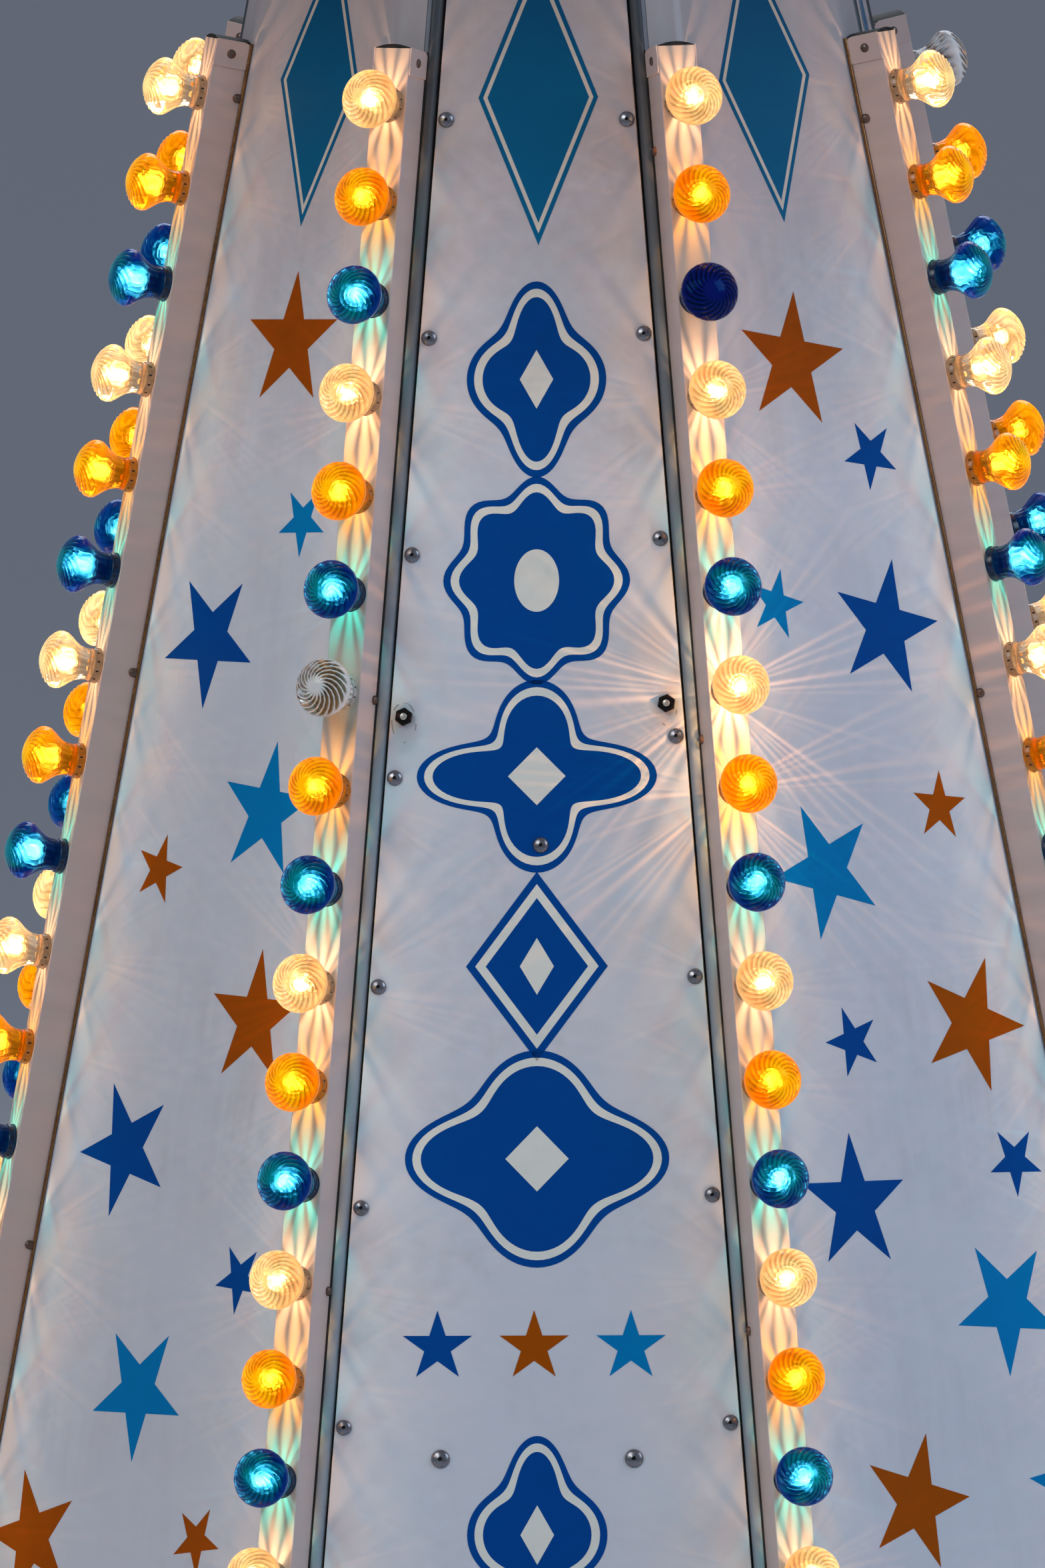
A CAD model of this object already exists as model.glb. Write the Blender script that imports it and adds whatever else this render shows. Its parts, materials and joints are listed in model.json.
"""The clad centre tower of a chair swing ride, dressed around its CAD frame.

Metres, +Z up. A panel or a light bar is drawn flat in its own plane, u across, v up
the slope from the top lamps' level and n outward, and then set on the tower.
"""
import json
from functools import partial
from math import atan, cos, pi, radians, sin, sqrt, tan

import bpy
from mathutils import Matrix, Vector

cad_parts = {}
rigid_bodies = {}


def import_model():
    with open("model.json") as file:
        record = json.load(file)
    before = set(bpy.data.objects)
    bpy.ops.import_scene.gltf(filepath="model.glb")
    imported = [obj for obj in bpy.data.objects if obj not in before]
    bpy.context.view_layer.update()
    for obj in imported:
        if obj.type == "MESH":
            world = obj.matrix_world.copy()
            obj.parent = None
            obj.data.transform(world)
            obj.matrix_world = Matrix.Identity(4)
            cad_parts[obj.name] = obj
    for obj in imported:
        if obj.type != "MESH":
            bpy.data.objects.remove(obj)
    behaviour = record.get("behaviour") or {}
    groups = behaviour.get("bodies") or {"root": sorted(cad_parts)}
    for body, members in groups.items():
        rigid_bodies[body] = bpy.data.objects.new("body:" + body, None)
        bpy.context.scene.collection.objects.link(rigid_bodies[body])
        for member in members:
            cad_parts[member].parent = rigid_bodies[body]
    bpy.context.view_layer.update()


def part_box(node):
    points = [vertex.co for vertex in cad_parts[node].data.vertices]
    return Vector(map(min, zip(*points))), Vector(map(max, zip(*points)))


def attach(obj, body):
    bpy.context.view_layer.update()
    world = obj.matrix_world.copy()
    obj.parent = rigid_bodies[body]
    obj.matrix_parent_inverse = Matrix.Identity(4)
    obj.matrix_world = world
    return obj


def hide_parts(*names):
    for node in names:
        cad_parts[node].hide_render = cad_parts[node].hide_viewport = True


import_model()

# Driving dimensions, as in the CAD source

SIDES = 8
LEAN = 0.208
TOP_LAMP_LEVEL = 2.965
CORNER_RADIUS = 0.357
BAR_FACE_PROUD = 0.0316
LAMPS_PER_BAR = 28
LAMP_PITCH = 0.100
LAMP_HEIGHT = 0.062
BAR_WIDTH = 0.040
BAR_DEPTH = 0.038
BAR_END_MARGIN = 0.059
BAR_CAP_HEIGHT = 0.028
CHAMFER_INSET = 0.0075
CHAMFER_EDGE = 0.016
ORNAMENT_EDGE = 0.0367
ORNAMENT_THICKNESS = 0.012
CLADDING_FOOT, CLADDING_TOP = (corner[2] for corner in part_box("ornament_panel_front"))

HALF_CORNER = pi / SIDES
COS_HALF = cos(HALF_CORNER)
SIN_HALF = sin(HALF_CORNER)
LEAN_ANGLE = atan(LEAN)
SLOPE_ANGLE = atan(LEAN * COS_HALF)
APOTHEM = CORNER_RADIUS * COS_HALF
HALF_SIDE = CORNER_RADIUS * SIN_HALF
WIDENING = LEAN * SIN_HALF * cos(SLOPE_ANGLE)
PANEL_TOP = (CLADDING_TOP - TOP_LAMP_LEVEL) / cos(SLOPE_ANGLE)
PANEL_FOOT = (CLADDING_FOOT - TOP_LAMP_LEVEL) / cos(SLOPE_ANGLE)
BAR_TOP = BAR_END_MARGIN
BAR_FOOT = -(LAMPS_PER_BAR - 1) * LAMP_PITCH - BAR_END_MARGIN

FACE_NAMES = ("front", "right", "back", "left")
STAR_NAMES = ("front_right", "back_right", "back_left", "front_left")

SCREW_ALONG = 0.046
SCREW_FROM = -0.018
SCREW_PITCH = 0.2215
LEFT_SCREWS = (0.018, 0.241, 0.462, 0.689, 0.901, 1.125, 1.347)
RIGHT_SCREWS = (0.019, 0.238, 0.447, 0.648, 0.892, 1.113, 1.343)
LOWER_SCREWS = 6
NUT_PLACES = ((-0.135, -0.627), (0.132, -0.615))
SCUFF_RADIUS = 0.0245
SCUFF_COLOR = (0.12, 0.12, 0.14)
STAIN = (0.66, 0.52, 0.46)
STAIN_HEIGHTS = (2.66, 3.15)
FLANK_SCREW_PITCH = 0.601
FIRST_FLANK_SCREW = {1: -0.045, 2: -0.026, 7: 0.001, 8: -0.604}


def half_side(v):
    """From a panel's middle to its corner line, at a height v up the slope."""
    return HALF_SIDE - WIDENING * v


def show(name, data, place=None):
    """Adds an object with this mesh, light or camera."""
    shown = bpy.data.objects.new(name, data)
    bpy.context.collection.objects.link(shown)
    if place is not None:
        shown.matrix_world = place
    return shown


# Camera: the photo's viewing angle, through a long lens

IMAGE_HEIGHT_PX = 2352
FOCAL_PX = 22900
SENSOR = 36.0
CAMERA_DISTANCE = 15.92
CAMERA_AZIMUTH = radians(4.17)
CAMERA_ELEVATION = radians(6.33)
CAMERA_ROLL = radians(0.82)
AIM_BELOW_TOP_LAMP = 0.7
AIM_RIGHT = -0.048
AIM_UP = -0.034


def add_camera():
    az, el = CAMERA_AZIMUTH, CAMERA_ELEVATION
    forward = Vector((-sin(az) * cos(el), cos(az) * cos(el), -sin(el)))
    right = Vector((cos(az), sin(az), 0))
    up = right.cross(forward)
    place = Vector((0, 0, TOP_LAMP_LEVEL - AIM_BELOW_TOP_LAMP))
    place += right * AIM_RIGHT + up * AIM_UP - forward * CAMERA_DISTANCE
    c, s = cos(CAMERA_ROLL), sin(CAMERA_ROLL)
    image_x = right * c - up * s
    image_y = right * s + up * c
    data = bpy.data.cameras.new("camera")
    data.sensor_width = SENSOR
    data.lens = FOCAL_PX / IMAGE_HEIGHT_PX * SENSOR
    data.clip_end = 400
    turn = Matrix((image_x, image_y, -forward)).transposed()
    bpy.context.scene.camera = show("camera", data, Matrix.Translation(place) @ turn.to_4x4())


add_camera()

# Node helpers. They work in the tree that their input sockets are in.


def is_socket(value):
    return isinstance(value, bpy.types.NodeSocket)


def wire(target, inputs):
    """Sets each input to a constant, or links it to another node's output socket."""
    for key, value in inputs.items():
        if is_socket(value):
            target.id_data.links.new(value, target.inputs[key])
        else:
            target.inputs[key].default_value = value


def add_node(tree, kind, **settings):
    new = tree.nodes.new(kind)
    for name, value in settings.items():
        setattr(new, name, value)
    return new


def node(kind, inputs, **settings):
    tree = next(value.id_data for value in inputs.values() if is_socket(value))
    new = add_node(tree, kind, **settings)
    wire(new, inputs)
    return new


def calc(operation, *values):
    return node("ShaderNodeMath", dict(enumerate(values)), operation=operation).outputs[0]


plus, minus, times, over = (partial(calc, name) for name in ("ADD", "SUBTRACT", "MULTIPLY", "DIVIDE"))
times_plus, larger, size_of = (partial(calc, name) for name in ("MULTIPLY_ADD", "MAXIMUM", "ABSOLUTE"))


def ramp(value, low, high, to_low=0.0, to_high=1.0):
    inputs = {"Value": value, "From Min": low, "From Max": high, "To Min": to_low, "To Max": to_high}
    return node("ShaderNodeMapRange", inputs, clamp=True).outputs[0]


def rgba(color):
    return (*color, 1.0)


def mix(factor, a, b):
    """Blends two colours, each a constant or a socket."""
    sockets = {0: factor, 6: a, 7: b}
    plain = {k: v if is_socket(v) or k == 0 else rgba(v) for k, v in sockets.items()}
    return node("ShaderNodeMix", plain, data_type="RGBA").outputs[2]


def noise(vector, scale, detail=3.0):
    inputs = {"Vector": vector, "Scale": scale, "Detail": detail}
    return node("ShaderNodeTexNoise", inputs).outputs["Fac"]


def place_of(tree, *scale):
    """The object's own coordinates, scaled if a scale is given."""
    place = add_node(tree, "ShaderNodeTexCoord").outputs["Object"]
    if not scale:
        return place
    return node("ShaderNodeMapping", {"Vector": place, "Scale": scale}).outputs[0]


def split(vector):
    return node("ShaderNodeSeparateXYZ", {0: vector}).outputs


def new_material(name):
    """Starts a material, and notes the slot of the pieces made from it."""
    material = bpy.data.materials.new(name)
    material.use_nodes = True
    tree = material.node_tree
    return material, tree, tree.nodes["Principled BSDF"]


def bump(shader, height, strength, distance):
    inputs = {"Height": height, "Strength": strength, "Distance": distance}
    wire(shader, {"Normal": node("ShaderNodeBump", inputs).outputs[0]})


def darker(color, share):
    return tuple(c * share for c in color)


# Paints and metals

RUST_COLOR = (0.16, 0.05, 0.02)
DUST_COLOR = (0.12, 0.11, 0.11)


def painted(
    name, color, grime, roughness=0.3, wave=0.05, coat=0.0, marks=None, gloss=0.35, stained=1.0
):
    """Enamel with blotchy grime, runs down the slope and a stain that deepens up the tower."""
    material, tree, shader = new_material(name)
    place = place_of(tree)
    blotch = noise(place, 7.0, 4.0)
    runs = noise(place_of(tree, 55, 55, 2.5), 1.0)
    dirt = times(ramp(blotch, 0.42, 0.75), ramp(runs, 0.35, 0.8))
    if marks:
        dirt = larger(dirt, marks(place, blotch))
    shade = mix(ramp(dirt, 0.0, 1.0, 0.0, 0.5), color, grime)
    shade = mix(ramp(dirt, 1.4, 2.0, 0.0, 0.7), shade, SCUFF_COLOR)
    _, _, height = split(add_node(tree, "ShaderNodeNewGeometry").outputs["Position"])
    rise = times_plus(runs, 0.16, height)
    stain_color = tuple(c * s for c, s in zip(color, STAIN))
    shade = mix(ramp(rise, *STAIN_HEIGHTS, 0.0, stained), shade, stain_color)
    wire(shader, {
        "Base Color": shade,
        "Roughness": ramp(blotch, 0.3, 0.8, roughness - 0.04, roughness + 0.1),
        "Specular IOR Level": gloss,
        "Coat Weight": coat,
        "Coat Roughness": 0.13,
    })
    bump(shader, noise(place, 60.0, 0.0), wave, 0.0003)
    return material


def panel_stains(place, blotch):
    """Dirt washed down from an ornament panel's screws, stains and scuffs round its nuts."""
    u, v, _ = split(place)
    half = times_plus(v, -WIDENING, HALF_SIDE)
    along = minus(half, size_of(u))
    aside = size_of(minus(along, SCREW_ALONG))
    below = calc("FRACT", over(minus(SCREW_FROM, v), SCREW_PITCH))
    drip = times(ramp(aside, 0.008, 0.001), ramp(below, 0.22, 0.02))
    stains = times(drip, ramp(blotch, 0.35, 0.7, 0.1, 0.9))
    scratches = ramp(noise(place, 90.0, 1.0), 0.47, 0.56, 0.0, 2.0)
    for nut_u, nut_v in NUT_PLACES:
        across = times(minus(u, nut_u), 1.3)
        down = times(minus(v, nut_v - 0.006), 0.8)
        squares = plus(times(across, across), times(down, down))
        ragged = times_plus(blotch, 0.02, calc("SQRT", squares))
        stains = larger(stains, ramp(ragged, 0.036, 0.016, 0.0, 1.3))
        from_scuff = size_of(minus(ragged, SCUFF_RADIUS))
        scuff = times(ramp(from_scuff, 0.0022, 0.0004), scratches)
        stains = larger(stains, scuff)
    return stains


def metal(name, color, roughness, brush=(300, 300, 6), metallic=0.9, spots=0.7):
    """Bare metal with a grain along the slope and dull spots."""
    material, tree, shader = new_material(name)
    grain = noise(place_of(tree, *brush), 1.0)
    dull = ramp(noise(place_of(tree), 40.0), 0.5, 0.75, 0.0, spots)
    wire(shader, {
        "Base Color": mix(dull, color, darker(color, 0.45)),
        "Roughness": ramp(grain, 0.3, 0.7, roughness - 0.08, roughness + 0.12),
        "Metallic": metallic,
        "Specular IOR Level": 0.25,
    })
    bump(shader, grain, 0.1, 0.0002)
    return material


def graded(name, foot_color, top_color, heights, grain, roughness, gloss):
    """A colour that turns into another up the slope, along a ragged line.

    The grain is its scale across and up, its detail and how ragged the line is.
    """
    across, up, detail, ragged = grain
    material, tree, shader = new_material(name)
    _, v, _ = split(place_of(tree))
    rise = times_plus(noise(place_of(tree, across, across, up), 1.0, detail), ragged, v)
    shade = mix(ramp(rise, *heights), foot_color, top_color)
    wire(shader, {"Base Color": shade, "Roughness": roughness, "Specular IOR Level": gloss})
    return material


def rusted(name, color, low=0.45, high=0.6):
    """Dark plated steel with rust breaking through."""
    material, tree, shader = new_material(name)
    place = place_of(tree)
    patches = ramp(noise(place, 160.0, 5.0), low, high)
    wire(shader, {
        "Base Color": mix(patches, color, RUST_COLOR),
        "Roughness": ramp(patches, 0, 1, 0.35, 0.85),
        "Metallic": ramp(patches, 0, 1, 0.8, 0.0),
    })
    bump(shader, noise(place, 900.0), 0.4, 0.0003)
    return material


def rubber(name, color, roughness=0.6):
    material, tree, shader = new_material(name)
    dust = ramp(noise(place_of(tree), 60.0), 0.5, 0.9, 0.0, 0.15)
    shade = mix(dust, color, DUST_COLOR)
    wire(shader, {"Base Color": shade, "Roughness": roughness, "Specular IOR Level": 0.2})
    return material


PANEL_COLOR = (0.585, 0.625, 0.72)
PANEL_GRIME = (0.42, 0.42, 0.46)
PANEL = painted("panel_enamel", PANEL_COLOR, PANEL_GRIME, 0.3, coat=0.08)
ORNAMENT_PANEL = painted(
    "ornament_enamel", PANEL_COLOR, PANEL_GRIME, 0.3, coat=0.08, marks=panel_stains,
)
BAR_PAINT = painted(
    "bar_enamel", (0.56, 0.47, 0.46), (0.35, 0.27, 0.25), 0.34, coat=0.15, stained=0.35,
)
BAR_FACE = painted(
    "bar_face_enamel", (0.54, 0.45, 0.39), (0.34, 0.26, 0.2), 0.34, coat=0.15, stained=0.2,
)
DARK_BLUE = painted(
    "motif_dark_blue", (0.0, 0.06, 0.3), (0.0, 0.045, 0.22), 0.4, gloss=0.06,
)
LIGHT_BLUE = painted(
    "motif_light_blue", (0.0, 0.19, 0.5), (0.0, 0.14, 0.37), 0.4, gloss=0.06,
)
ORANGE = painted(
    "motif_orange", (0.34, 0.07, 0.001), (0.24, 0.05, 0.002), 0.4, gloss=0.06,
)
MOTIF_WHITE = painted("motif_white", (0.72, 0.75, 0.72), (0.5, 0.5, 0.5), 0.3)
STRIP_METAL = graded(
    "strip_metal",
    (0.26, 0.31, 0.37), (0.05, 0.055, 0.065), (-0.65, 0.1), (20, 2, 3.0, 0.15), 0.45, 0.3,
)
ALUMINIUM = metal("post_metal", (0.205, 0.215, 0.245), 0.6, metallic=0.0, spots=0.3)
SCREW_STEEL = metal("screw_steel", (0.25, 0.25, 0.28), 0.26, (400, 400, 400), 0.9)
BRONZE = metal("seam_bronze", (0.34, 0.17, 0.07), 0.24, (200, 200, 5), 1.0)
DULL_SCREW = rusted("dull_screw", (0.13, 0.1, 0.085), 0.45, 0.7)
RUSTY = rusted("rusty_steel", (0.014, 0.012, 0.012), 0.58, 0.85)
RUST = rusted("bright_rust", (0.6, 0.55, 0.5), 0.6, 0.85)
TEAL_BLUE = graded(
    "motif_teal_blue",
    (0.0, 0.12, 0.275), (0.0, 0.062, 0.15), (-0.12, 0.16), (9, 9, 4.0, 0.08), 0.4, 0.12,
)
BLACK = rubber("black_rubber", (0.012, 0.012, 0.013))
PLINTH_PAINT = painted("plinth_enamel", (0.16, 0.17, 0.19), (0.1, 0.08, 0.07), 0.5, 0.3)
BEARING_STEEL = metal("bearing_metal", (0.1, 0.1, 0.11), 0.5, (60, 60, 60), 0.7)

# Lamps: ribbed caps, vented collars and the glow inside

LAMP_KINDS = ("clear", "amber", "blue")
BLACKNESS = (0.0, 0.0, 0.0)
GLASS_IOR = 1.32
GROOVE_LIGHT = 0.34


def lamp_shape(tree):
    """Gives a lamp's own values: rib phase or glow level, and height share."""
    return split(add_node(tree, "ShaderNodeAttribute", attribute_name="lamp_shape").outputs["Vector"])


def lamp_glass(name, color, groove_color, clearness=1.0, ridge_clearness=None):
    """Moulded cap, darker in the grooves between its ribs."""
    material, tree, shader = new_material(name)
    rib, _, _ = lamp_shape(tree)
    clear = clearness
    if ridge_clearness is not None:
        clear = ramp(rib, 0.55, 0.95, clearness, ridge_clearness)
    wire(shader, {
        "Base Color": mix(ramp(rib, 0.1, 0.8), groove_color, color),
        "Transmission Weight": clear,
        "Roughness": 0.04,
        "IOR": GLASS_IOR,
    })
    material.cycles.emission_sampling = "NONE"
    return material


def lit_glass(name, color, groove_color, rim, heart, strength):
    """A cap with light in its ribs, brightest at its middle and faint down its neck."""
    material = lamp_glass(name, color, groove_color)
    tree = material.node_tree
    rib, rise, _ = lamp_shape(tree)
    lively = ramp(noise(place_of(tree), 42.0, 1.0), 0.35, 0.65, -0.25, 0.45)
    middle = ramp(times_plus(lively, 0.25, rise), 0.80, 1.0)
    ribbed = ramp(times_plus(lively, 0.4, rib), 0.15, 0.95, GROOVE_LIGHT, 1.0)
    down_neck = ramp(rise, 0.30, 0.78, 0.15 * strength, strength)
    wire(tree.nodes["Principled BSDF"], {
        "Emission Color": mix(middle, rim, heart),
        "Emission Strength": times(down_neck, ribbed),
    })
    return material


def lamp_glow(name, edge, heart, strength):
    """The bulb's light, as nested see-through shells that grow brighter inwards."""
    material, tree, shader = new_material(name)
    level, _, _ = lamp_shape(tree)
    patch = ramp(noise(place_of(tree), 130.0, 2.0), 0.35, 0.65, -0.35, 0.35)
    inward = plus(patch, level)
    bright = calc("POWER", ramp(inward, -0.3, 1.2, 0.2, 1.0), 3.5)
    wire(shader, {
        "Base Color": rgba(BLACKNESS),
        "Specular IOR Level": 0.0,
        "Emission Color": mix(ramp(inward, 0.0, 0.8), edge, heart),
        "Emission Strength": times(bright, strength),
        "Alpha": ramp(inward, -0.3, 1.0, 0.05, 0.75),
    })
    material.cycles.emission_sampling = "NONE"
    return material


def lamp_collar(name, color, strength):
    """Plastic that glows a little where its lamp is lit."""
    material, tree, shader = new_material(name)
    worn = ramp(noise(place_of(tree), 120.0), 0.4, 0.7)
    shade = mix(worn, color, darker(color, 0.6))
    wire(shader, {
        "Base Color": mix(0.75, shade, BLACKNESS) if strength else shade,
        "Emission Color": shade,
        "Emission Strength": strength,
        "Roughness": 0.25,
    })
    material.cycles.emission_sampling = "NONE"
    return material


def by_kind(make, ending, looks):
    return {kind: make(f"{kind}_{ending}", *look) for kind, look in looks.items()}


# Base colour, its grooves' colour, light at the rim and in the middle, and its strength
LIT_GLASS = by_kind(lit_glass, "glass", {
    "clear": ((1.0, 0.78, 0.54), (0.95, 0.50, 0.26), (1.0, 0.53, 0.16), (0.95, 0.76, 0.27), 0.70),
    "amber": ((1.0, 0.31, 0.004), (0.85, 0.19, 0.0), (0.97, 0.29, 0.0), (1.0, 0.63, 0.0), 0.58),
    "blue": ((0.001, 0.027, 0.110), (0.0, 0.005, 0.045), (0.0, 0.022, 0.23), (0.0, 0.28, 0.31), 0.48),
})
DARK_GLASS = by_kind(lamp_glass, "glass_dark", {
    "clear": ((1.0, 0.99, 0.98), (0.62, 0.60, 0.60), 1.0, 0.25),
    "blue": ((0.006, 0.015, 0.20), (0.0, 0.003, 0.04), 0.35),
})
GLOW = by_kind(lamp_glow, "glow", {
    "clear": ((1.0, 0.36, 0.03), (1.0, 0.88, 0.50), 16.0),
    "amber": ((1.0, 0.40, 0.0), (1.0, 1.0, 0.45), 15.0),
    "blue": ((0.0, 0.68, 0.52), (1.0, 1.0, 0.80), 72.0),
})
SHEEN = {"amber": (1.0, 0.45, 0.05), "blue": (0.02, 0.25, 0.55)}
for kind, tint in SHEEN.items():
    for glass in (LIT_GLASS, DARK_GLASS):
        if kind in glass:
            wire(glass[kind].node_tree.nodes["Principled BSDF"], {"Specular Tint": rgba(tint)})
DARK_CORE = rubber("dead_core", (0.50, 0.47, 0.46), 0.3)
COLLAR = by_kind(lamp_collar, "collar", {
    "clear": ((0.50, 0.27, 0.14), 0.35),
    "amber": ((0.55, 0.16, 0.005), 0.40),
    "blue": ((0.00, 0.025, 0.09), 0.25),
})
DARK_COLLAR = by_kind(lamp_collar, "collar_dark", {
    "clear": ((0.45, 0.42, 0.40), 0.0),
    "blue": ((0.00, 0.012, 0.06), 0.0),
})

# Where things go on the tower


def leaning_place(angle, radius, lean):
    """Sets u, v, n on the tower, n = 0 at this radius at the top lamps' level."""
    out = Vector((sin(angle), -cos(angle), 0))
    across = Vector((cos(angle), sin(angle), 0))
    normal = out * cos(lean) + Vector((0, 0, sin(lean)))
    up = normal.cross(across)
    turn = Matrix((across, up, normal)).transposed().to_4x4()
    return Matrix.Translation(out * radius + Vector((0, 0, TOP_LAMP_LEVEL))) @ turn


def panel_place(angle):
    return leaning_place(angle, APOTHEM, SLOPE_ANGLE)


def corner_place(corner):
    angle = (2 * corner - 1) * HALF_CORNER
    return leaning_place(angle, CORNER_RADIUS + BAR_FACE_PROUD, LEAN_ANGLE)


# Mesh helpers


class Shape:
    """Gathers vertices and faces, with a material number for each face."""

    def __init__(self, loops=()):
        self.verts = []
        self.faces = []
        self.kinds = []
        self.values = []
        if loops:
            self.loops(loops)

    def face(self, points, kind=0):
        self.faces.append(tuple(points))
        self.kinds.append(kind)

    def band(self, a, b, count, kind=0):
        for i in range(count):
            j = (i + 1) % count
            self.face((a + i, a + j, b + j, b + i), kind)

    def loops(self, loops, kinds=None):
        """Skins closed loops of equal length, the first facing down, the last up."""
        first = len(self.verts)
        count = len(loops[0])
        kinds = kinds or [0] * (len(loops) + 1)
        for loop in loops:
            self.verts += [tuple(p) for p in loop]
        self.face([first + i for i in reversed(range(count))], kinds[0])
        for k in range(len(loops) - 1):
            self.band(first + k * count, first + (k + 1) * count, count, kinds[k + 1])
        last = first + (len(loops) - 1) * count
        self.face([last + i for i in range(count)], kinds[-1])

    def ring(self, outer, inner, low, high):
        """A flat closed ring between two outlines of equal length."""
        first = len(self.verts)
        count = len(outer)
        for outline, n in ((outer, low), (outer, high), (inner, high), (inner, low)):
            self.verts += raised(outline, n)
        for k in range(4):
            self.band(first + k * count, first + (k + 1) % 4 * count, count)

    def lathe(self, place, profile, segments, kinds=None, turn=0.0):
        """Turns a profile of (radius, height) about the outward axis through a place."""
        u, v, n = place
        loops = []
        for radius, height in profile:
            loops.append([(u + x, v + y, n + height) for x, y in circle(radius, segments, turn)])
        self.loops(loops, kinds)

    def make(self, name, materials, place=None, sharp=None, nodes=(), slot=None):
        """Makes the piece, smooth up to the sharp angle if one is given."""
        mesh = bpy.data.meshes.new(name)
        mesh.from_pydata(self.verts, [], self.faces)
        for material in materials:
            mesh.materials.append(material)
        mesh.polygons.foreach_set("material_index", self.kinds)
        if self.values:
            layer = mesh.attributes.new("lamp_shape", "FLOAT_VECTOR", "POINT")
            layer.data.foreach_set("vector", [c for value in self.values for c in value])
        if sharp is not None:
            mesh.polygons.foreach_set("use_smooth", [True] * len(mesh.polygons))
            mesh.set_sharp_from_angle(angle=radians(sharp))
        mesh.update()
        return make_piece(name, mesh, place, nodes)


def make_piece(name, mesh, place=None, nodes=()):
    piece = show(name, mesh, place)
    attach(piece, "root")
    if nodes:
        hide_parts(*nodes)
    return piece


def raised(points, n):
    return [(x, y, n) for x, y in points]


def circle_point(radius, angle, x=0.0, y=0.0):
    return x + radius * cos(angle), y + radius * sin(angle)


def circle(radius, segments, turn=0.0):
    return [circle_point(radius, turn + 2 * pi / segments * k) for k in range(segments)]


def inset(points, distance):
    """Moves every edge of an anticlockwise outline inward by the distance."""
    moved = []
    count = len(points)
    for i in range(count):
        before, here, after = (Vector(points[(i + d) % count]) for d in (-1, 0, 1))
        a = (here - before).normalized()
        b = (after - here).normalized()
        normal_a = Vector((-a.y, a.x))
        normal_b = Vector((-b.y, b.x))
        mitre = (normal_a + normal_b) / (1 + normal_a.dot(normal_b))
        moved.append(tuple(here + mitre * distance))
    return moved


def rounded_slab(outline, thickness, radius, steps=3):
    """A slab with its front at n = 0 and a rounded front edge."""
    loops = [raised(outline, -thickness)]
    for k in range(steps + 1):
        angle = pi / 2 * k / steps
        inward = radius * (1 - cos(angle))
        loops.append(raised(inset(outline, inward), -radius + radius * sin(angle)))
    return Shape(loops)


def rounded_rect(x0, x1, y0, y1, radius, steps=4):
    points = []
    corners = ((x1 - radius, y0 + radius, -90), (x1 - radius, y1 - radius, 0))
    corners += ((x0 + radius, y1 - radius, 90), (x0 + radius, y0 + radius, 180))
    for x, y, start in corners:
        for k in range(steps + 1):
            angle = radians(start + 90 * k / steps)
            points.append(circle_point(radius, angle, x, y))
    return points


def along_bar(section, foot, top):
    """Runs a section of (u, n) points up the slope."""
    return [[(u, v, n) for u, n in reversed(section)] for v in (foot, top)]


# Fasteners


def dome_screw(shape, u, v, n, radius=0.008, height=0.0042, segments=20):
    """A domed head with a hex socket."""
    socket = radius * 0.24
    profile = [(radius, -0.001), (radius, 0.0006)]
    for k in range(1, 5):
        angle = pi / 2 * k / 5
        profile.append((radius * cos(angle), 0.0006 + (height - 0.0006) * sin(angle)))
    profile += [(socket, height), (socket * 0.9, height - 0.0016)]
    shape.lathe((u, v, n), profile, segments, [0] * 7 + [1, 1])


def hex_bolt(shape, place, across=0.0162, head=0.007, stub=0.0035):
    """A chamfered nut and the bolt's end."""
    corner = across / sqrt(3)
    nut = [(corner, -0.0010), (corner, head - 0.001), (corner * 0.88, head)]
    shape.lathe(place, nut, 6, [0] * 4, 0.4)
    end = [(stub, head - 0.001), (stub, head + 0.0015), (stub * 0.7, head + 0.002)]
    shape.lathe(place, end, 12, [1] * 4)


# Panels

EDGE_RADIUS = 0.0012
# Sections of the seal and the rounded strip: distance from the corner line, and height
SEAL_SECTION = ((0.0364, -0.012), (0.0346, -0.012), (0.0346, -0.007), (0.0364, -0.007))
STRIP_SECTION = (
    (0.0218, -0.0040),
    (0.0218, -0.0006),
    (0.0226, 0.0010),
    (0.0240, 0.0019),
    (0.0262, 0.0023),
    (0.0286, 0.0020),
    (0.0306, 0.0013),
    (0.0321, 0.0002),
    (0.0334, -0.0016),
    (0.0344, -0.0042),
    (0.0349, -0.0080),
    (0.0349, -0.0100),
)
BEND_RADIUS = 0.030
BEND_STEPS = 8
STAR_SHEET = 0.004
LARGE_SCREWS = ((-0.098, -1.379), (0.098, -1.379))
MIDDLE_SCREW = (0.004, -0.758)


def ornament_panel(name, angle):
    place = panel_place(angle)
    top = half_side(PANEL_TOP) - ORNAMENT_EDGE
    foot = half_side(PANEL_FOOT) - ORNAMENT_EDGE
    outline = [(-foot, PANEL_FOOT), (foot, PANEL_FOOT), (top, PANEL_TOP), (-top, PANEL_TOP)]
    sheet = rounded_slab(outline, ORNAMENT_THICKNESS, EDGE_RADIUS)
    sheet.make(f"panel_sheet_{name}", [ORNAMENT_PANEL], place, nodes=[f"ornament_panel_{name}"])
    edge_strips(f"panel_seals_{name}", BLACK, SEAL_SECTION, place)
    edge_strips(f"rounded_strips_{name}", STRIP_METAL, STRIP_SECTION[::-1], place)


def edge_strips(name, material, section, place):
    """A pair of strips up a panel's edges; the section is given from the corner lines."""
    shape = Shape()
    for side in (-1, 1):
        loops = []
        for v in (PANEL_FOOT, PANEL_TOP):
            loop = [(side * (half_side(v) - along), v, n) for along, n in section]
            loops.append(loop[::side])
        shape.loops(loops)
    shape.make(name, [material], place, 40)


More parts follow.
